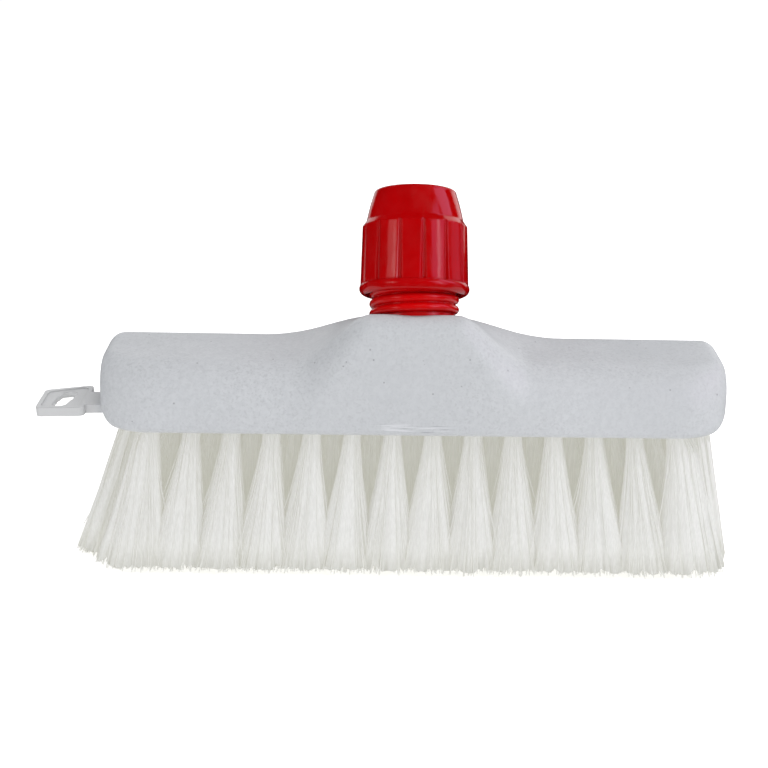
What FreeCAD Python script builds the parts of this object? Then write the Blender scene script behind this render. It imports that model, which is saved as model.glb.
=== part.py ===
import FreeCAD, Part
import math
import os

Vector = FreeCAD.Vector

# Scrub brush head, millimetres. +X runs along the block with the hang tab at -X, -Y is the front, +Z is up.
# The origin is the centre of the middle tuft's trimmed tip, so the bristles stand on z = 0.

# Block
block_length = 250.2
block_depth = 50.0
block_height = 25.0
block_height_drop = 1.1
wall_setback = 1.0
front_corner_radius = 22.0
rear_corner_radius = 8.0
end_top_radius = 6.0
end_foot_radius = 8.0
shoulder_radius = 18.0
rear_edge_radius = 3.0
foot_radius = 1.6

# Swelling in the middle of the block, which carries the handle socket
crest_rise = 24.3
crest_setback = 2.5
crest_radius = 9.0
crest_flat_half = 16.5
crest_foot_half = 46.0
rear_lift = 0.6
rear_rise = 8.2
rear_flat_half = 12.0
rear_foot_half = 60.0
swell_run_out = 5.0
hump_stations = 26
end_stations = 12
loft_degree = 2

# Tufts and their staples
tuft_length = 62.5
middle_row_count = 15
tuft_end_margin = 13.8
tuft_side_margin = 11.0
tuft_hole_radius = 3.5
tuft_fit = 0.05
tuft_floor_web = 3.5
tuft_neck = 2.0
tuft_tip_radius = 8.1
front_sway = -1.6
front_splay = 9.5
front_skew = 2.5
middle_splay = 16.2
middle_skew = -3.5
back_splay = 17.0
back_skew = -4.0
splay_across = 4.2
staple_width = 6.2
staple_thickness = 0.6
staple_height = 2.0
staple_cover = 1.2
staple_fit = 0.05

# Hang tab
tab_length = 19.3
tab_width = 22.6
tab_offset = 1.1
tab_thickness = 3.7
tab_corner_radius = 2.2
tab_back_skew = 2.4
tab_lift = 1.4
tab_droop = 1.5
tab_neck_length = 6.0
tab_neck_width = 14.0
tab_root = 6.0
tray_rim = 1.8
tray_depth = 0.5
tray_back_depth = 1.4
hang_slot_width = 6.0
hang_slot_length = 16.4
hang_slot_turn = 11.0
hang_eye_radius = 3.4

# Handle socket: a threaded sleeve that leans back
socket_lean = 25.0
socket_offset = -4.0
socket_sink = 0.6
handle_diameter = 24.0
handle_clearance = 0.1
sleeve_wall = 4.2
sleeve_length = 42.0
spigot_wall = 2.9
spigot_length = 12.0
spigot_fit = 0.05
spigot_bevel = 0.8
key_count = 4
key_width = 3.0
key_height = 0.8
key_length = 10.0
mouth_flare = 3.3
mouth_flare_length = 5.2

# Thread of sleeve and collar
thread_pitch = 4.0
thread_depth = 1.55
thread_sink = 0.2
thread_clearance = 0.35
thread_first_crest = 4.0
thread_end_margin = 2.0
ridge_depth = 1.0
ridge_base_half = 1.2
ridge_tip_half = 0.25
ridge_sink = 0.3
ridge_lead = 2.0
ridge_rise = 10.0
recess_clearance = 0.45

# Clamp collar
collar_height = 42.0
collar_overlap = 16.5
collar_wall = 1.8
collar_entry = 0.6
collar_entry_length = 1.2
collar_bore_length = 22.0
collar_shoulder_length = 2.0
collar_cone_step = 1.2
collar_lip_height = 4.0
collar_mouth_clearance = 0.6
collar_lip_step = 1.2
collar_lead_in = 0.8
collar_rim_wall = 3.8
collar_rim_round = 1.3
nose_height = 12.3
nose_base_inset = 0.7
nose_crown = 0.2
bead_height = 4.2
bead_swell = 1.95
bead_top = 1.35
bead_foot = 0.6
bead_foot_lift = 0.3
bead_middle = 2.3
pad_count = 14
pad_height_top = 0.9
pad_height_foot = 1.5
pad_bevel = 2.3
pad_angle = -4.5
pad_groove_width = 0.5
pad_groove_slope = 45.0
pad_groove_lift = 0.45
pad_foot_gap = 0.3

# Grip ring inside the collar
grip_clearance = 0.3
grip_handle_clearance = 0.2
grip_seat_gap = 0.4
grip_nose_wall = 1.1
grip_split = 2.5

overrun = 5.0

# Sizes that follow from the ones above
half_length = block_length / 2
half_depth = block_depth / 2
underside = tuft_length
bore_radius = handle_diameter / 2 + handle_clearance
root_radius = bore_radius + sleeve_wall
thread_radius = root_radius + thread_depth
thread_rise = sleeve_length - spigot_length - thread_first_crest - thread_end_margin
spigot_radius = bore_radius + spigot_wall
key_radius = spigot_radius + key_height
recess_radius = thread_radius + recess_clearance
lean = math.radians(socket_lean)
socket_foot = Vector(0, socket_offset, underside + block_height - socket_sink)
socket_axis = Vector(0, math.sin(lean), math.cos(lean))
tuft_hole_depth = block_height - socket_sink - key_radius * math.sin(lean) - tuft_floor_web
tuft_pitch = (block_length - 2 * tuft_end_margin) / (middle_row_count - 1)
row_spacing = half_depth - tuft_side_margin
tuft_root_radius = tuft_hole_radius - tuft_fit
collar_foot = sleeve_length - collar_overlap
collar_bore_radius = thread_radius + thread_clearance
groove_radius = collar_bore_radius + collar_wall
collar_mouth_radius = bore_radius + collar_mouth_clearance
collar_lip_floor = collar_height - collar_lip_height
cone_start = collar_bore_length + collar_shoulder_length
cone_radius_low = collar_bore_radius - collar_cone_step
cone_radius_high = collar_mouth_radius + collar_lip_step
cone_slope = (cone_radius_low - cone_radius_high) / (collar_lip_floor - cone_start)

os.makedirs("parts", exist_ok=True)


def save(name, shape):
    shape.exportStep(f"parts/{name}.step")


def ease(share):
    share = min(max(share, 0.0), 1.0)
    return share * share * (3 - 2 * share)


def arc_edge(start, middle, end):
    return Part.Arc(start, middle, end).toShape()


def rounded_loop(corners, radii):
    """Closed wire through the corners, each one rounded to its radius."""
    edges = []
    starts = []
    ends = []
    middles = []
    count = len(corners)
    for index in range(count):
        corner = corners[index]
        back = corners[index - 1].sub(corner).normalize()
        ahead = corners[(index + 1) % count].sub(corner).normalize()
        half_angle = back.getAngle(ahead) / 2
        inward = back.add(ahead).normalize()
        reach = radii[index] / math.tan(half_angle)
        to_middle = radii[index] / math.sin(half_angle) - radii[index]
        starts.append(corner.add(Vector(back).multiply(reach)))
        ends.append(corner.add(Vector(ahead).multiply(reach)))
        middles.append(corner.add(Vector(inward).multiply(to_middle)))
    for index in range(count):
        edges.append(arc_edge(starts[index], middles[index], ends[index]))
        edges.append(Part.makeLine(ends[index], starts[(index + 1) % count]))
    return Part.Wire(edges)


def turned(steps):
    """Solid of revolution about Z through (radius, height) points; a pair is an arc's middle and end."""
    points = []
    edges = []
    for step in steps:
        if isinstance(step[0], tuple):
            middle, end = [Vector(radius, 0, height) for radius, height in step]
            edges.append(arc_edge(points[-1], middle, end))
            points.append(end)
        else:
            point = Vector(step[0], 0, step[1])
            if points:
                edges.append(Part.makeLine(points[-1], point))
            points.append(point)
    edges.append(Part.makeLine(points[-1], points[0]))
    face = Part.Face(Part.Wire(edges))
    return face.revolve(Vector(0, 0, 0), Vector(0, 0, 1), 360)


def helical_ridge(profile_edges, start_height, rise):
    """Right-handed thread ridge: the profile lies in the XZ plane and is swept upwards about Z."""
    path = Part.makeHelix(thread_pitch, rise, root_radius)
    path.translate(Vector(0, 0, start_height))
    profile = Part.Wire(profile_edges)
    profile.translate(Vector(0, 0, start_height))
    sweep = Part.BRepOffsetAPI.MakePipeShell(Part.Wire(path.Edges))
    sweep.setFrenetMode(True)
    sweep.add(profile)
    sweep.build()
    sweep.makeSolid()
    return sweep.shape()


def on_socket_axis(shape, height):
    """Stand a shape that was made about Z on the leaning socket axis, at a height above the socket's foot."""
    placed = shape.copy()
    turn = FreeCAD.Rotation(Vector(1, 0, 0), -socket_lean)
    foot = socket_foot.add(Vector(socket_axis).multiply(height))
    placed.Placement = FreeCAD.Placement(foot, turn)
    return placed


def polar_copies(shape, count):
    copies = []
    for index in range(count):
        copy = shape.copy()
        copy.rotate(Vector(0, 0, 0), Vector(0, 0, 1), 360 * index / count)
        copies.append(copy)
    return copies


# Block

def end_inset(x, radius):
    """How far a rounding of this radius at the block's ends draws in at station x."""
    past = min(max(abs(x) - (half_length - radius), 0.0), radius)
    return radius - math.sqrt(radius * radius - past * past)


def block_section(x):
    swell = ease((crest_foot_half - abs(x)) / (crest_foot_half - crest_flat_half))
    rear_swell = ease((rear_foot_half - abs(x)) / (rear_foot_half - rear_flat_half))
    front = -half_depth + end_inset(x, front_corner_radius)
    rear = half_depth - end_inset(x, rear_corner_radius)
    foot = underside + end_inset(x, end_foot_radius)
    top = underside + block_height - block_height_drop * x / block_length - end_inset(x, end_top_radius)
    crest_y = front + wall_setback + (crest_setback - wall_setback) * swell
    corners = [
        Vector(x, front, foot),
        Vector(x, crest_y, top + crest_rise * swell),
        Vector(x, rear - wall_setback, top + rear_lift + rear_rise * rear_swell),
        Vector(x, rear, foot),
    ]
    shrink = (top - foot) / block_height
    crest_round = shoulder_radius + (crest_radius - shoulder_radius) * swell
    radii = [foot_radius, crest_round, rear_edge_radius, foot_radius]
    return rounded_loop(corners, [radius * shrink for radius in radii])


def block_body():
    """Two rounded ends, two straight wings and the swelling between them, joined at equal sections."""
    end_radius = max(front_corner_radius, rear_corner_radius, end_top_radius, end_foot_radius)
    wing_end = half_length - end_radius
    swell_end = max(crest_foot_half, rear_foot_half) + swell_run_out
    swelling = [swell_end * index / hump_stations for index in range(-hump_stations, hump_stations + 1)]
    end = []
    for index in range(end_stations + 1):
        end.append(wing_end + end_radius * math.sin(math.pi / 2 * index / end_stations))
    spans = [
        [-x for x in reversed(end)],
        [-wing_end, -swell_end],
        swelling,
        [swell_end, wing_end],
        end,
    ]
    pieces = []
    for span in spans:
        sections = [block_section(x) for x in span]
        pieces.append(Part.makeLoft(sections, True, False, False, loft_degree))
    return pieces[0].fuse(pieces[1:])


def tuft_places():
    """Name, root and tip of every tuft: two rows of one tuft fewer stand half a pitch off the middle row.

    The tips of a row sway to one side, splay towards both ends and skew towards one end.
    """
    places = []
    short_row_count = middle_row_count - 1
    rows = [
        ("front", -1, short_row_count, front_sway, front_splay, front_skew),
        ("middle", 0, middle_row_count, 0, middle_splay, middle_skew),
        ("back", 1, short_row_count, 0, back_splay, back_skew),
    ]
    reach = half_length - tuft_end_margin
    for row, side, count, sway, splay, skew in rows:
        for index in range(count):
            x = (index - (count - 1) / 2) * tuft_pitch
            share = x / reach
            tip_x = x + sway + splay * share + skew * share * share
            root = Vector(x, side * row_spacing, underside)
            tip = Vector(tip_x, side * (row_spacing + splay_across), 0)
            places.append((f"tuft_{row}_{index + 1:02d}", root, tip))
    return places


def hang_eye():
    """Cutter for the hanging slot with its round middle, made about Z."""
    half_width = hang_slot_width / 2
    half_slot = hang_slot_length / 2
    straight = half_slot - half_width
    right_back = Vector(half_width, straight, 0)
    left_back = Vector(-half_width, straight, 0)
    left_front = Vector(-half_width, -straight, 0)
    right_front = Vector(half_width, -straight, 0)
    edges = [
        Part.makeLine(right_front, right_back),
        arc_edge(right_back, Vector(0, half_slot, 0), left_back),
        Part.makeLine(left_back, left_front),
        arc_edge(left_front, Vector(0, -half_slot, 0), right_front),
    ]
    slot = Part.Face(Part.Wire(edges)).extrude(Vector(0, 0, tab_thickness))
    slot.rotate(Vector(0, 0, 0), Vector(0, 0, 1), -hang_slot_turn)
    return slot.fuse(Part.makeCylinder(hang_eye_radius, tab_thickness))


def tab_slab(inset, low, high):
    """Rounded slab of the tab's outline, drawn in by the inset, about the tab's middle."""
    half_long = tab_length / 2 - inset
    half_wide = tab_width / 2 - inset
    corners = [
        Vector(-half_long, -half_wide, low),
        Vector(half_long, -half_wide, low),
        Vector(half_long, half_wide + tab_back_skew, low),
        Vector(-half_long, half_wide - tab_back_skew, low),
    ]
    outline = rounded_loop(corners, [tab_corner_radius] * len(corners))
    return Part.Face(outline).extrude(Vector(0, 0, high - low))


def hang_tab():
    """Flat tab on a short neck: a shallow tray above and below leaves a thin web with the hanging slot."""
    neck_start = Vector(tab_length / 2 - tab_corner_radius, -tab_neck_width / 2 - tab_offset, 0)
    neck_length = tab_corner_radius + tab_neck_length + tab_root
    neck = Part.makeBox(neck_length, tab_neck_width, tab_thickness, neck_start)
    tray = tab_slab(tray_rim, tab_thickness - tray_depth, tab_thickness)
    back_tray = tab_slab(tray_rim, 0, tray_back_depth)
    tab = tab_slab(0, 0, tab_thickness).fuse(neck).cut([tray, back_tray, hang_eye()])
    middle = -half_length - tab_neck_length - tab_length / 2
    tab.translate(Vector(middle, tab_offset, underside + tab_lift))
    tab.rotate(Vector(-half_length, 0, underside + tab_lift), Vector(0, 1, 0), -tab_droop)
    return tab


def key_bars(radius, width, length):
    bar = Part.makeBox(radius, width, length, Vector(0, -width / 2, 0))
    return polar_copies(bar, key_count)


def socket_hole():
    bore = Part.makeCylinder(spigot_radius + spigot_fit, spigot_length + overrun)
    recess_depth = crest_rise + block_depth
    recess = Part.makeCylinder(recess_radius, recess_depth, Vector(0, 0, spigot_length))
    grooves = key_bars(key_radius + spigot_fit, key_width + 2 * spigot_fit, spigot_length + overrun)
    return on_socket_axis(bore.fuse([recess] + grooves), 0)


def tuft_hole(root, tip):
    up = root.sub(tip).normalize()
    start = root.sub(Vector(up).multiply(overrun))
    return Part.makeCylinder(tuft_hole_radius, tuft_hole_depth + overrun, start, up)


def brush_block(places):
    cuts = [socket_hole()]
    for _, root, tip in places:
        cuts.append(tuft_hole(root, tip))
    return block_body().cut(cuts).fuse(hang_tab())


# Tufts

def staple_blank(root, tip, fit):
    """Flat anchor across the fold of a tuft, grown on all sides by the fit."""
    up = root.sub(tip).normalize()
    width = staple_width + 2 * fit
    thickness = staple_thickness + 2 * fit
    height = staple_height + 2 * fit
    blank = Part.makeBox(width, thickness, height, Vector(-width / 2, -thickness / 2, -height / 2))
    depth = tuft_hole_depth - tuft_fit - staple_cover - staple_height / 2
    centre = root.add(Vector(up).multiply(depth))
    blank.Placement = FreeCAD.Placement(centre, FreeCAD.Rotation(Vector(0, 0, 1), up))
    return blank


def tuft(root, tip):
    up = root.sub(tip).normalize()
    neck = root.sub(Vector(up).multiply(tuft_neck))
    shank = Part.makeCylinder(tuft_root_radius, tuft_neck + tuft_hole_depth - tuft_fit, neck, up)
    free = neck.sub(tip).Length
    growth = (tuft_tip_radius - tuft_root_radius) / free
    end_radius = tuft_tip_radius + growth * overrun
    brush = Part.makeCone(tuft_root_radius, end_radius, free + overrun, neck, Vector(up).negative())
    trim_reach = free
    below = Part.makeBox(2 * trim_reach, 2 * trim_reach, trim_reach,
                         tip.sub(Vector(trim_reach, trim_reach, trim_reach)))
    return shank.fuse(brush).cut([below, staple_blank(root, tip, staple_fit)]).removeSplitter()


# Socket sleeve, collar and grip ring, each made about Z

def handle_socket():
    body = turned([
        (bore_radius, 0),
        (spigot_radius - spigot_bevel, 0),
        (spigot_radius, spigot_bevel),
        (spigot_radius, spigot_length),
        (root_radius, spigot_length),
        (root_radius, sleeve_length),
        (bore_radius + mouth_flare, sleeve_length),
        (bore_radius, sleeve_length - mouth_flare_length),
    ])
    rod = Part.makeCylinder((bore_radius + spigot_radius) / 2, key_length)
    keys = [bar.cut(rod) for bar in key_bars(key_radius, key_width, key_length)]
    base = root_radius - thread_sink
    half_base = thread_radius - base
    profile = [
        arc_edge(Vector(base, 0, -half_base), Vector(thread_radius, 0, 0), Vector(base, 0, half_base)),
        Part.makeLine(Vector(base, 0, half_base), Vector(base, 0, -half_base)),
    ]
    ridge = helical_ridge(profile, spigot_length + thread_first_crest, thread_rise)
    return body.fuse(keys + [ridge])


def collar_ridge():
    """Inner thread, half a pitch off the sleeve's crests."""
    crest = collar_bore_radius - ridge_depth
    base = collar_bore_radius + ridge_sink
    corners = [
        Vector(crest, 0, -ridge_tip_half),
        Vector(crest, 0, ridge_tip_half),
        Vector(collar_bore_radius, 0, ridge_base_half),
        Vector(base, 0, ridge_base_half),
        Vector(base, 0, -ridge_base_half),
        Vector(collar_bore_radius, 0, -ridge_base_half),
    ]
    edges = Part.makePolygon(corners + [corners[0]]).Edges
    first_crest = spigot_length + thread_first_crest + thread_pitch / 2
    steps = math.ceil((collar_foot + ridge_lead - first_crest) / thread_pitch)
    return helical_ridge(edges, first_crest + steps * thread_pitch - collar_foot, ridge_rise)


def pad_groove():
    """Cutter for one of the shallow grooves between the collar's grip pads, widening outwards."""
    inner = groove_radius + pad_groove_lift
    outer = groove_radius + pad_height_foot + overrun
    half_floor = pad_groove_width / 2
    half_mouth = half_floor + (outer - inner) * math.tan(math.radians(pad_groove_slope))
    corners = [
        Vector(inner, -half_floor, 0),
        Vector(outer, -half_mouth, 0),
        Vector(outer, half_mouth, 0),
        Vector(inner, half_floor, 0),
    ]
    face = Part.Face(Part.makePolygon(corners + [corners[0]]))
    groove = face.extrude(Vector(0, 0, collar_height - nose_height - bead_height + overrun))
    groove.translate(Vector(0, 0, bead_height))
    groove.rotate(Vector(0, 0, 0), Vector(0, 0, 1), pad_angle)
    return groove


def clamp_collar():
    nose_foot = collar_height - nose_height
    nose_radius = groove_radius - nose_base_inset
    rim_radius = collar_mouth_radius + collar_rim_wall
    rim_low = collar_height - collar_rim_round
    corner_share = math.sin(math.pi / 4)
    rim_middle = (rim_radius - collar_rim_round + collar_rim_round * corner_share,
                  rim_low + collar_rim_round * corner_share)
    nose_middle = ((rim_radius + nose_radius) / 2 + nose_crown, (rim_low + nose_foot) / 2)
    pad_top_radius = groove_radius + pad_height_top
    pad_foot_radius = groove_radius + pad_height_foot
    bead_radius = groove_radius + bead_swell
    body = turned([
        (collar_bore_radius + collar_entry, 0),
        (collar_bore_radius, collar_entry_length),
        (collar_bore_radius, collar_bore_length),
        (cone_radius_low, cone_start),
        (cone_radius_high, collar_lip_floor),
        (collar_mouth_radius, collar_lip_floor),
        (collar_mouth_radius, collar_height - collar_lead_in),
        (collar_mouth_radius + collar_lead_in, collar_height),
        (rim_radius - collar_rim_round, collar_height),
        (rim_middle, (rim_radius, rim_low)),
        (nose_middle, (nose_radius, nose_foot)),
        (pad_top_radius, nose_foot - pad_bevel),
        (pad_foot_radius, bead_height + pad_foot_gap),
        (groove_radius + bead_top, bead_height),
        ((bead_radius, bead_middle), (groove_radius + bead_foot, bead_foot_lift)),
        (groove_radius, 0),
    ])
    body = body.cut(polar_copies(pad_groove(), pad_count))
    return body.fuse(collar_ridge())


def grip_ring():
    """Split wedge ring: its upper cone lies in the collar's cone, its lower one enters the sleeve's mouth."""
    bore = bore_radius + grip_handle_clearance
    foot = sleeve_length + grip_seat_gap - collar_foot
    nose_radius = bore + grip_nose_wall
    widest = cone_radius_low - grip_clearance - collar_cone_step / 2
    flare_top = foot + (widest - nose_radius) * mouth_flare_length / mouth_flare
    shoulder = cone_start + (cone_radius_low - grip_clearance - widest) / cone_slope
    top = collar_lip_floor - grip_clearance
    top_radius = widest - (top - shoulder) * cone_slope
    body = turned([
        (bore, foot),
        (nose_radius, foot),
        (widest, flare_top),
        (widest, shoulder),
        (top_radius, top),
        (bore, top),
    ])
    split = Part.makeBox(widest + overrun, grip_split, top + overrun, Vector(0, -grip_split / 2, 0))
    return body.cut(split)


def main():
    places = tuft_places()
    save("brush_block", brush_block(places))
    save("handle_socket", on_socket_axis(handle_socket(), 0))
    save("clamp_collar", on_socket_axis(clamp_collar(), collar_foot))
    save("grip_ring", on_socket_axis(grip_ring(), collar_foot))
    for name, root, tip in places:
        save(name, tuft(root, tip))
    save("tuft_staples", Part.makeCompound([staple_blank(root, tip, 0) for _, root, tip in places]))


main()
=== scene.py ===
import math

import bpy
import numpy as np
from mathutils import Matrix, Vector


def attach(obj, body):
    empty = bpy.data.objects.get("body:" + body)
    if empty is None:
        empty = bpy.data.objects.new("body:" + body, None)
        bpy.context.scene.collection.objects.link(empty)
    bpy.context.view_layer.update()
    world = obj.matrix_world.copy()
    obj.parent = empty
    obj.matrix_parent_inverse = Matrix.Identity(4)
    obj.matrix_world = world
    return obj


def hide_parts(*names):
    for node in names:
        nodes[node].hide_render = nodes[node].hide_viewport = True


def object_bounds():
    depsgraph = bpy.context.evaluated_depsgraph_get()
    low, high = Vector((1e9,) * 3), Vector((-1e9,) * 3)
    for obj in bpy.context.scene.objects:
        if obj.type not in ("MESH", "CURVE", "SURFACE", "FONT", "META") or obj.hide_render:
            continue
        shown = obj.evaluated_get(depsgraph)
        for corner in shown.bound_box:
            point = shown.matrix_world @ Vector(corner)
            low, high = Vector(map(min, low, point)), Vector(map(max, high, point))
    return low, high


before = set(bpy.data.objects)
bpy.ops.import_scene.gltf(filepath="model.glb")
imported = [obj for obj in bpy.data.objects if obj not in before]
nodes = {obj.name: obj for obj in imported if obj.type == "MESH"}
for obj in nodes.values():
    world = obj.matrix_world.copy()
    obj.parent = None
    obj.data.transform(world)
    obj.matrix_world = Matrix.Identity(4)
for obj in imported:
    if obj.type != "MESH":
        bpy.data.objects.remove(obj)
start_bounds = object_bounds()
scene = bpy.context.scene
scene.view_settings.view_transform = "Standard"

MM = 0.001

# Camera as fitted to the photo: its angles, a point on the brush, that point seen from the lens, and its lens
PITCH = math.radians(20.73)
YAW = math.radians(-0.13)
ROLL = math.radians(0.61)
AIM = Vector((0.0, 0.0, 63.5)) * MM
VIEW_SHIFT = Vector((11.54, 10.86, 593.0)) * MM
FOCAL_PIXELS = 1464.6
PHOTO_PIXELS = 768
SENSOR_WIDTH = 36.0
CLIP_START = 0.01
CLIP_END = 50.0


def add_camera():
    data = bpy.data.cameras.new("photo_camera")
    cam = bpy.data.objects.new("photo_camera", data)
    scene.collection.objects.link(cam)
    sin_p, cos_p = math.sin(PITCH), math.cos(PITCH)
    tilt = Matrix(((1, 0, 0), (0, -sin_p, -cos_p), (0, cos_p, -sin_p)))
    turn = Matrix.Rotation(ROLL, 3, "Z") @ tilt @ Matrix.Rotation(YAW, 3, "Z")
    back = turn.transposed()
    place = AIM - back @ VIEW_SHIFT
    flip = Matrix(((1, 0, 0), (0, -1, 0), (0, 0, -1)))
    cam.matrix_world = Matrix.Translation(place) @ (back @ flip).to_4x4()
    data.sensor_width = SENSOR_WIDTH
    data.lens = FOCAL_PIXELS / PHOTO_PIXELS * SENSOR_WIDTH
    data.clip_start = CLIP_START
    data.clip_end = CLIP_END
    scene.camera = cam


# Materials

class Paint:
    """A node material with short calls for the nodes used here. Noise scales are per metre."""

    def __init__(self, name, roughness, specular=0.5):
        self.mat = bpy.data.materials.new(name)
        self.mat.use_nodes = True
        self.tree = self.mat.node_tree
        self.bsdf = self.tree.nodes["Principled BSDF"]
        self.bsdf.inputs["Roughness"].default_value = roughness
        self.bsdf.inputs["Specular IOR Level"].default_value = specular
        self.coords = self.tree.nodes.new("ShaderNodeTexCoord").outputs["Object"]

    def put(self, socket, value):
        if isinstance(value, bpy.types.NodeSocket):
            self.tree.links.new(value, socket)
        else:
            socket.default_value = value

    def stretched(self, factors):
        node = self.tree.nodes.new("ShaderNodeMapping")
        node.inputs["Scale"].default_value = factors
        self.put(node.inputs["Vector"], self.coords)
        return node.outputs["Vector"]

    def noise(self, scale, detail=3.0, roughness=0.5, vector=None, distortion=0.0):
        node = self.tree.nodes.new("ShaderNodeTexNoise")
        node.inputs["Scale"].default_value = scale
        node.inputs["Detail"].default_value = detail
        node.inputs["Roughness"].default_value = roughness
        node.inputs["Distortion"].default_value = distortion
        self.put(node.inputs["Vector"], vector or self.coords)
        return node.outputs["Fac"]

    def cells(self, scale):
        node = self.tree.nodes.new("ShaderNodeTexVoronoi")
        node.inputs["Scale"].default_value = scale
        self.put(node.inputs["Vector"], self.coords)
        return node.outputs["Distance"], node.outputs["Color"]

    def math(self, operation, a, b=0.0):
        node = self.tree.nodes.new("ShaderNodeMath")
        node.operation = operation
        self.put(node.inputs[0], a)
        self.put(node.inputs[1], b)
        return node.outputs[0]

    def product(self, a, b):
        return self.math("MULTIPLY", a, b)

    def fade(self, value, low, high, out_low=0.0, out_high=1.0):
        node = self.tree.nodes.new("ShaderNodeMapRange")
        node.interpolation_type = "SMOOTHSTEP"
        self.put(node.inputs["Value"], value)
        node.inputs["From Min"].default_value = low
        node.inputs["From Max"].default_value = high
        node.inputs["To Min"].default_value = out_low
        node.inputs["To Max"].default_value = out_high
        return node.outputs["Result"]

    def axis(self, letter):
        node = self.tree.nodes.new("ShaderNodeSeparateXYZ")
        self.put(node.inputs[0], self.coords)
        return node.outputs[letter]

    def mix(self, factor, a, b):
        node = self.tree.nodes.new("ShaderNodeMix")
        node.data_type = "RGBA"
        self.put(node.inputs["Factor"], factor)
        for socket, value in ((node.inputs[6], a), (node.inputs[7], b)):
            self.put(socket, value if isinstance(value, bpy.types.NodeSocket) else (*value, 1.0))
        return node.outputs[2]

    def color(self, value):
        self.put(self.bsdf.inputs["Base Color"], value)

    def rough(self, value):
        self.put(self.bsdf.inputs["Roughness"], value)

    def glow(self, color, strength):
        self.put(self.bsdf.inputs["Emission Color"], (*color, 1.0))
        self.put(self.bsdf.inputs["Emission Strength"], strength)

    def soft_edges(self, radius):
        node = self.tree.nodes.new("ShaderNodeBevel")
        node.samples = 6
        self.put(node.inputs["Radius"], radius)
        return node.outputs["Normal"]

    def bump(self, height, strength, distance, under=None):
        """Bumps on top of those under them; the surface takes the ones that are made last."""
        node = self.tree.nodes.new("ShaderNodeBump")
        node.inputs["Strength"].default_value = strength
        node.inputs["Distance"].default_value = distance
        self.put(node.inputs["Height"], height)
        if under is not None:
            self.put(node.inputs["Normal"], under)
        self.put(self.bsdf.inputs["Normal"], node.outputs["Normal"])
        return node.outputs["Normal"]


# Places where the look changes; a pair says where the change starts and ends
TAB_COLOR_X = (-128.0 * MM, -124.0 * MM)
TAB_EDGE_X = (-127.0 * MM, -119.0 * MM)
FOOT_LIGHT_Z = (62.9 * MM, 64.5 * MM)
SCUFF_LEFT_X = (-17.0 * MM, -9.0 * MM)
SCUFF_RIGHT_X = (8.0 * MM, 18.0 * MM)
SCUFF_LOW_Z = (63.6 * MM, 64.6 * MM)
SCUFF_HIGH_Z = (66.6 * MM, 68.4 * MM)
SCUFF_FRONT_Y = -20.0 * MM
GLOW_Z = (0.0, 22.0 * MM)

# Radii of the softened edges and depths of the bumps
TAB_EDGE = 0.5 * MM
BLOCK_EDGE = 3.5 * MM
RED_EDGE = 0.9 * MM
GRAIN_DEPTH = 0.2 * MM
WORM_DEPTH = 0.3 * MM
RED_DEPTH = 0.4 * MM
BRISTLE_DEPTH = 0.1 * MM

BLOCK_DEEP = (0.515, 0.530, 0.553)
BLOCK_PALE = (0.550, 0.565, 0.589)
BLOCK_MOTTLE = (0.46, 0.475, 0.50)
BLOCK_PIT = (0.39, 0.40, 0.42)
BLOCK_SPECK = (0.13, 0.13, 0.15)
# Painted light: a warmer, lighter tone for the block's foot, standing in for light bounced up from below
FOOT_BOUNCE_LIGHT = (0.56, 0.55, 0.52)
TAB_GREY = (0.55, 0.555, 0.565)
SCUFF_PALE = (0.60, 0.61, 0.64)
SCUFF_DARK = (0.33, 0.34, 0.37)
BRISTLE_DEEP = (0.440, 0.445, 0.474)
BRISTLE_PALE = (0.496, 0.501, 0.532)
BRISTLE_GLOW = (1.0, 0.985, 0.80)
RING_DEEP = (0.70, 0.70, 0.67)
RING_PALE = (0.80, 0.80, 0.78)
STEEL_DEEP = (0.52, 0.52, 0.54)
STEEL_PALE = (0.68, 0.68, 0.70)
FLOOR_DEEP = (0.93, 0.93, 0.93)
FLOOR_PALE = (0.95, 0.95, 0.95)
WHITE = (1.0, 1.0, 1.0)

# The red part of each piece's colour; the socket's red is painted lighter than the collar's, painted light
# that lifts the shade the collar casts on its thread
COLLAR_RED = 0.385
SOCKET_LIT_RED = 0.56


def block_skin(p, patch):
    """Mottled grey with dark pits, denser in some patches, and a few darker specks."""
    color = p.mix(p.fade(p.noise(14.0, 2.0), 0.35, 0.68), BLOCK_DEEP, BLOCK_PALE)
    mottled = p.fade(p.noise(480.0, 4.0, 0.7), 0.36, 0.64)
    color = p.mix(p.product(mottled, 0.5), color, BLOCK_MOTTLE)
    pits = p.product(p.fade(p.noise(1000.0, 2.0), 0.5, 0.68), patch)
    color = p.mix(p.product(pits, 0.42), color, BLOCK_PIT)
    near, tint = p.cells(260.0)
    rare = p.math("GREATER_THAN", tint, 0.74)
    speck = p.product(p.fade(near, 0.07, 0.13, 1.0, 0.0), rare)
    return p.mix(p.product(speck, 0.5), color, BLOCK_SPECK)


def block_scuff(p, color):
    """Pale and dark scratches along the lower edge, in the middle of the front."""
    along = p.product(p.fade(p.axis("X"), *SCUFF_LEFT_X), p.fade(p.axis("X"), *SCUFF_RIGHT_X, 1.0, 0.0))
    height = p.product(p.fade(p.axis("Z"), *SCUFF_LOW_Z), p.fade(p.axis("Z"), *SCUFF_HIGH_Z, 1.0, 0.0))
    front = p.math("LESS_THAN", p.axis("Y"), SCUFF_FRONT_Y)
    scuffed = p.product(p.product(along, height), front)
    streaks = p.noise(1.0, 2.0, vector=p.stretched((70.0, 1.0, 1500.0)))
    color = p.mix(p.product(p.fade(streaks, 0.5, 0.6), scuffed), color, SCUFF_PALE)
    return p.mix(p.product(p.fade(streaks, 0.42, 0.34), scuffed), color, SCUFF_DARK)


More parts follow.
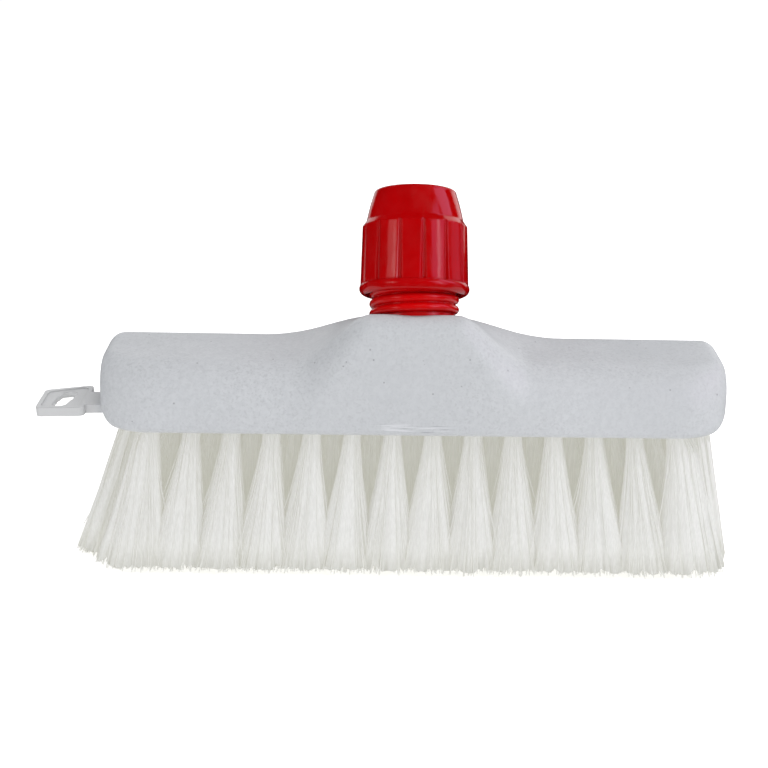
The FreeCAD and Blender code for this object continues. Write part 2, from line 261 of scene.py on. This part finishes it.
def block_material():
    p = Paint("block_grey", 0.46, 0.4)
    patch = p.fade(p.noise(32.0, 2.0), 0.36, 0.62, 0.45, 1.0)
    color = block_skin(p, patch)
    color = p.mix(p.fade(p.axis("X"), *TAB_COLOR_X, 1.0, 0.0), color, TAB_GREY)
    # Painted light: a lighter, warmer band along the block's foot, where light bouncing up from below falls
    # on the rounded foot
    color = p.mix(p.product(p.fade(p.axis("Z"), *FOOT_LIGHT_Z, 1.0, 0.0), 0.2), color, FOOT_BOUNCE_LIGHT)
    p.color(block_scuff(p, color))
    p.rough(p.fade(p.noise(90.0, 3.0), 0.3, 0.7, 0.40, 0.56))
    soft = p.soft_edges(p.fade(p.axis("X"), *TAB_EDGE_X, TAB_EDGE, BLOCK_EDGE))
    grain = p.bump(p.noise(2600.0, 2.0), 0.06, GRAIN_DEPTH, soft)
    worms = p.noise(900.0, 2.0, 0.5, distortion=1.6)
    p.bump(p.product(worms, patch), 0.34, WORM_DEPTH, grain)
    return p.mat


def red_material(name, roughness, red):
    p = Paint(name, roughness)
    broad = p.fade(p.noise(40.0, 2.0), 0.35, 0.65)
    color = p.mix(broad, (0.93 * red, 0.0003, 0.0008), (1.07 * red, 0.0004, 0.0014))
    fine = p.fade(p.noise(700.0, 3.0), 0.45, 0.7)
    p.color(p.mix(p.product(fine, 0.12), color, (0.72 * red, 0.0003, 0.0008)))
    p.rough(p.fade(p.noise(260.0, 3.0), 0.3, 0.7, roughness - 0.03, roughness + 0.05))
    waves = p.noise(260.0, 2.0, vector=p.stretched((1.0, 1.0, 0.4)))
    p.bump(waves, 0.13, RED_DEPTH, p.soft_edges(RED_EDGE))
    return p.mat


def bristle_material():
    """White filament; the glow stands in for light that passes through it, and is strongest at the tips."""
    p = Paint("bristle_white", 0.38, 0.3)
    along = p.noise(2400.0, 2.0, vector=p.stretched((1.0, 1.0, 0.02)))
    p.color(p.mix(p.fade(along, 0.35, 0.65), BRISTLE_DEEP, BRISTLE_PALE))
    p.rough(p.fade(along, 0.3, 0.7, 0.32, 0.46))
    p.bump(along, 0.05, BRISTLE_DEPTH)
    p.glow(BRISTLE_GLOW, p.fade(p.axis("Z"), *GLOW_Z, 0.315, 0.27))
    return p.mat


def ring_material():
    p = Paint("grip_white", 0.45)
    p.color(p.mix(p.noise(120.0, 3.0), RING_DEEP, RING_PALE))
    p.bump(p.noise(1500.0, 2.0), 0.06, GRAIN_DEPTH)
    return p.mat


def steel_material():
    p = Paint("staple_steel", 0.32)
    p.bsdf.inputs["Metallic"].default_value = 1.0
    p.color(p.mix(p.noise(900.0, 3.0), STEEL_DEEP, STEEL_PALE))
    p.rough(p.fade(p.noise(1500.0, 2.0), 0.3, 0.7, 0.25, 0.42))
    return p.mat


def floor_material():
    p = Paint("pale_floor", 0.9, 0.0)
    p.color(p.mix(p.noise(3.0, 2.0), FLOOR_DEEP, FLOOR_PALE))
    p.glow(WHITE, 0.42)
    return p.mat


def dress(name, material):
    mesh = nodes[name].data
    mesh.materials.clear()
    mesh.materials.append(material)


# Bristles: every tuft is a fluted core of packed filaments with loose ones around it

BRISTLE_SEED = 7
FILAMENTS = 220
FILAMENT_RADIUS = 0.2 * MM
FILAMENT_SIDES = 5
FILAMENT_RINGS = 8

# The core: its size as a share of the tuft, the depth of its flutes and the hollow in its lower end
CORE_COLUMNS = 56
CORE_RINGS = 7
CORE_SHARE = 0.95
FLUTE_SHARES = (0.93, 1.05)
CORE_SETBACK = 1.2 * MM
CORE_HOLLOW = 9.0 * MM
HOLLOW_SHARE = 0.62

# Half widths of a tuft at its root and its tips; the depths are those towards -Y and +Y
ROOT_RADIUS = 3.0 * MM
TIP_SPREAD = 14.5 * MM
TIP_DEPTH = {"front": (8.3 * MM, 8.8 * MM), "middle": (8.3 * MM, 8.3 * MM), "back": (8.8 * MM, 8.3 * MM)}

# The outer side of a row's last tufts, which stand beyond END_TUFT_X: half width at the tips, then for the -X
# and the +X end how much it bulges at the root and how much further its tips reach on one side of the row,
# +Y where the value is positive; the bulge is full after 1 / BULGE_STEEPNESS of the way down
END_TUFT_X = 98.0 * MM
END_SPREAD = {"front": 14.5 * MM, "middle": 8.6 * MM, "back": 14.5 * MM}
END_BULGE = {"front": (3.6 * MM, 5.6 * MM), "middle": (2.3 * MM, 5.4 * MM), "back": (3.6 * MM, 5.6 * MM)}
END_SKEW = {"front": (9.0 * MM, 5.0 * MM), "middle": (0.0, 0.0), "back": (-9.0 * MM, -5.0 * MM)}
BULGE_STEEPNESS = 12.0

# Tufts widen from MOUTH_Z down, along the row less at first, and their tips end higher towards SIDE_LIMIT
MOUTH_Z = 62.0 * MM
FAN_POWER = 1.35
SIDE_LIMIT = 26.2 * MM
TIP_RISE = 3.0 * MM

# Scatter of the filaments; the loose ones keep out of the middle share of the tuft's area
MIDDLE_SHARE = 0.15
STRAY_SHARE = 0.09
STRAY_SCATTER = 3.5 * MM
TIP_SCATTER = 0.5 * MM
WAVE_SCATTER = 0.22 * MM
TRIM_SCATTER = 1.3 * MM
LOOSE_TRIM_LIMIT = 3.6 * MM
CORE_TRIM_LIMIT = 4.0 * MM
FLOOR_GAP = 0.05 * MM

# Parts of a CAD tuft that count as its tip face and its root
TIP_SLICE = 0.01 * MM
ROOT_SLICE = 2.0 * MM


def tuft_frame(name):
    """Root and tip centre of a tuft from its CAD solid."""
    mesh = nodes[name].data
    points = np.empty(len(mesh.vertices) * 3)
    mesh.vertices.foreach_get("co", points)
    points = points.reshape(-1, 3)
    tips = points[points[:, 2] < TIP_SLICE]
    top = points[points[:, 2] > points[:, 2].max() - ROOT_SLICE]
    root = (top.min(0) + top.max(0)) / 2
    tip = (tips.min(0) + tips.max(0)) / 2
    return root, tip


def tuft_axis(root, tip, z):
    along = (root[2] - z) / root[2]
    return root[0] + (tip[0] - root[0]) * along, root[1] + (tip[1] - root[1]) * along


def tube_faces(count, rings, sides):
    """Faces of closed tubes whose vertices run tube by tube and ring by ring, top ring first."""
    faces = []
    for tube in range(count):
        base = tube * rings * sides
        for ring in range(rings - 1):
            at = base + ring * sides
            for side in range(sides):
                ahead = (side + 1) % sides
                faces.append((at + ahead, at + side, at + sides + side, at + sides + ahead))
        last = base + (rings - 1) * sides
        faces.append(tuple(last + side for side in reversed(range(sides))))
        faces.append(tuple(base + side for side in range(sides)))
    return faces


def circle_angles(count):
    return np.arange(count) * 2 * math.pi / count


def side_widths(across, deep, sides):
    """Tip reach and root bulge along the row, which differ on the outer side of a row's last tufts."""
    reach, bulge, skew = np.moveaxis(sides[(across >= 0).astype(int)], -1, 0)
    return reach + 0.5 * (np.abs(skew) + skew * deep), bulge


def depth_width(deep, depth):
    return np.where(deep < 0, depth[0], depth[1])


def neck_width(bulge, fan):
    return ROOT_RADIUS + bulge * np.minimum(fan * BULGE_STEEPNESS, 1)


def fan_shares(z):
    """Share of a tuft's widening that is reached at a height, first in depth and then along the row."""
    fan = np.clip((MOUTH_Z - z) / MOUTH_Z, 0, 1)
    return fan, fan ** FAN_POWER


def tip_rise(tip):
    return TIP_RISE * abs(tip[1]) / SIDE_LIMIT


def filament_points(root, tip, sides, depth, rng):
    """Filaments from the hole to the trimmed tips; a few stray ones cross into the next tuft."""
    count = FILAMENTS
    share = np.sqrt(rng.uniform(MIDDLE_SHARE, 1.0, count))
    angle = rng.random(count) * 2 * math.pi
    across = np.stack([share * np.cos(angle), share * np.sin(angle)], 1)
    reach, bulge = side_widths(across[:, 0], across[:, 1], sides)
    widths = np.stack([reach, depth_width(across[:, 1], depth)], 1)
    end = across * widths + rng.normal(0, TIP_SCATTER, (count, 2))
    stray = np.where(rng.random(count) < STRAY_SHARE, rng.normal(0, STRAY_SCATTER, count), 0.0)
    end[:, 0] += stray if np.array_equal(sides[0], sides[1]) else -np.sign(root[0]) * np.abs(stray)
    low = np.minimum(np.abs(rng.normal(0, TRIM_SCATTER, count)), LOOSE_TRIM_LIMIT) + FLOOR_GAP
    low += tip_rise(tip)
    z = root[2] + (low[:, None] - root[2]) * np.linspace(0, 1, FILAMENT_RINGS)
    fan, flare = fan_shares(z)
    axis_x, axis_y = tuft_axis(root, tip, z)
    wave = rng.normal(0, WAVE_SCATTER, (count, 1)) * np.sin(fan * math.pi * 2)
    neck = neck_width(bulge[:, None], fan)
    x = axis_x + across[:, :1] * neck * (1 - flare) + end[:, :1] * flare + wave
    y = axis_y + across[:, 1:] * ROOT_RADIUS * (1 - fan) + end[:, 1:] * fan + wave
    x = np.clip(x, start_bounds[0][0] + 2 * FILAMENT_RADIUS, start_bounds[1][0] - 2 * FILAMENT_RADIUS)
    y = np.clip(y, FILAMENT_RADIUS - SIDE_LIMIT, SIDE_LIMIT - FILAMENT_RADIUS)
    centre = np.stack([x, y, z], 2)
    turn = circle_angles(FILAMENT_SIDES)
    rim = np.stack([np.cos(turn), np.sin(turn), np.zeros(FILAMENT_SIDES)], 1) * FILAMENT_RADIUS
    return (centre[:, :, None, :] + rim[None, None]).reshape(-1, 3)


def core_points(root, tip, sides, depth, rng):
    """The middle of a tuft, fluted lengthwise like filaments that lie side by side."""
    turn = circle_angles(CORE_COLUMNS)
    flute = CORE_SHARE * rng.uniform(*FLUTE_SHARES, CORE_COLUMNS)
    ends = np.minimum(np.abs(rng.normal(0, TRIM_SCATTER, CORE_COLUMNS)), CORE_TRIM_LIMIT)
    ends += CORE_SETBACK + tip_rise(tip)
    z = root[2] + (ends - root[2]) * np.linspace(0, 1, CORE_RINGS)[:, None]
    z = np.vstack([z, np.full(CORE_COLUMNS, CORE_HOLLOW)])
    drawn_in = np.append(np.ones(CORE_RINGS), HOLLOW_SHARE)[:, None]
    fan, flare = fan_shares(z)
    axis_x, axis_y = tuft_axis(root, tip, z)
    reach, bulge = side_widths(np.cos(turn), np.sin(turn), sides)
    row_width = neck_width(bulge, fan) * (1 - flare) + reach * flare
    cross_width = ROOT_RADIUS * (1 - fan) + depth_width(np.sin(turn), depth) * fan
    x = axis_x + drawn_in * flute * np.cos(turn) * row_width
    y = axis_y + drawn_in * flute * np.sin(turn) * cross_width
    x = np.clip(x, start_bounds[0][0], start_bounds[1][0])
    y = np.clip(y, -SIDE_LIMIT, SIDE_LIMIT)
    return np.stack([x, y, z], 2).reshape(-1, 3)


def tuft_mesh(name, root, tip, sides, depth, rng):
    core = core_points(root, tip, sides, depth, rng)
    loose = filament_points(root, tip, sides, depth, rng)
    faces = tube_faces(1, CORE_RINGS + 1, CORE_COLUMNS)
    start = len(core)
    for face in tube_faces(FILAMENTS, FILAMENT_RINGS, FILAMENT_SIDES):
        faces.append(tuple(start + index for index in face))
    mesh = bpy.data.meshes.new(name)
    mesh.from_pydata(np.concatenate([core, loose]).tolist(), [], faces)
    mesh.polygons.foreach_set("use_smooth", [True] * len(mesh.polygons))
    mesh.update()
    return mesh


def add_bristles(material):
    rng = np.random.default_rng(BRISTLE_SEED)
    for name in sorted(n for n in nodes if n.startswith("tuft_") and n != "tuft_staples"):
        root, tip = tuft_frame(name)
        row, side = name.split("_")[1], int(root[0] > 0)
        sides = np.array([[TIP_SPREAD, 0.0, 0.0], [TIP_SPREAD, 0.0, 0.0]])
        if abs(root[0]) > END_TUFT_X:
            sides[side] = END_SPREAD[row], END_BULGE[row][side], END_SKEW[row][side]
        mesh = tuft_mesh(name + "_filaments", root, tip, sides, TIP_DEPTH[row], rng)
        mesh.materials.append(material)
        piece = bpy.data.objects.new(name + "_filaments", mesh)
        scene.collection.objects.link(piece)
        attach(piece, "head")
        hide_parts(name)


# Floor and light; the lamps' distances and sizes are in metres

FLOOR_HALF = 30.0
FLOOR_DROP = 0.1 * MM
WORLD_STRENGTH = 0.655
LAMP_AIM = Vector((0.0, 0.0, 100.0)) * MM
PINK = (1.0, 0.55, 1.05)
PALE_PINK = (1.0, 0.6, 1.0)


def add_floor():
    mesh = bpy.data.meshes.new("floor")
    corners = [(x * FLOOR_HALF, y * FLOOR_HALF, 0) for x, y in ((-1, -1), (1, -1), (1, 1), (-1, 1))]
    mesh.from_pydata(corners, [], [(0, 1, 2, 3)])
    mesh.materials.append(floor_material())
    floor = bpy.data.objects.new("floor", mesh)
    floor.location.z = -FLOOR_DROP
    floor.visible_glossy = False
    scene.collection.objects.link(floor)


def add_area(name, azimuth, elevation, distance, size, radiance, tint=WHITE, diffuse=True, gloss=True):
    """Softbox that looks at the brush; the azimuth runs from the camera's side towards +X."""
    turn, rise = math.radians(azimuth), math.radians(elevation)
    away = Vector((math.sin(turn) * math.cos(rise), -math.cos(turn) * math.cos(rise), math.sin(rise)))
    data = bpy.data.lights.new(name, "AREA")
    data.shape = "RECTANGLE"
    data.size, data.size_y = size
    data.energy = radiance * math.pi * size[0] * size[1]
    data.color = tint
    lamp = bpy.data.objects.new(name, data)
    lamp.location = LAMP_AIM + away * distance
    lamp.rotation_mode = "QUATERNION"
    lamp.rotation_quaternion = (-away).to_track_quat("-Z", "Y")
    lamp.visible_diffuse = diffuse
    lamp.visible_glossy = gloss
    lamp.visible_camera = False
    scene.collection.objects.link(lamp)


def add_light():
    world = bpy.data.worlds.new("studio")
    world.use_nodes = True
    world.node_tree.nodes["Background"].inputs["Color"].default_value = (*WHITE, 1.0)
    world.node_tree.nodes["Background"].inputs["Strength"].default_value = WORLD_STRENGTH
    scene.world = world
    world.cycles_visibility.glossy = False
    add_area("key", 66, 29, 1.0, (0.9, 0.7), 0.5, gloss=False)
    add_area("key_gloss", 61, 28, 1.0, (0.56, 0.75), 0.95, PINK, diffuse=False)
    add_area("key_core", 60, 25, 0.98, (0.1, 0.55), 2.0)
    add_area("side_gloss", 102, 36, 1.0, (0.4, 0.6), 1.5, PALE_PINK, diffuse=False)
    add_area("low_gloss", 102, 6, 1.0, (0.4, 0.4), 0.4, PALE_PINK, diffuse=False)
    add_area("fill", -55, 24, 1.0, (0.44, 0.3), 0.9)
    add_area("fill_core", -53, 25, 0.98, (0.1, 0.22), 1.4)
    add_area("rim_right", 145, 18, 1.0, (0.4, 0.9), 1.2)
    add_area("rim_left", -158, 18, 1.0, (0.4, 0.9), 0.9)
    add_area("top", 48, 64, 0.9, (0.8, 0.7), 2.05, gloss=False)
    add_area("wash_left", -100, 12, 1.0, (0.6, 0.6), 0.45, gloss=False)
    add_area("wash_right", 105, 8, 1.0, (0.6, 0.6), 0.5, gloss=False)


def main():
    add_camera()
    add_floor()
    add_light()
    dress("brush_block", block_material())
    dress("clamp_collar", red_material("collar_red", 0.11, COLLAR_RED))
    # The socket gets the lighter red, painted light against the collar's shade on its thread
    dress("handle_socket", red_material("socket_red", 0.14, SOCKET_LIT_RED))
    dress("grip_ring", ring_material())
    dress("tuft_staples", steel_material())
    add_bristles(bristle_material())


main()
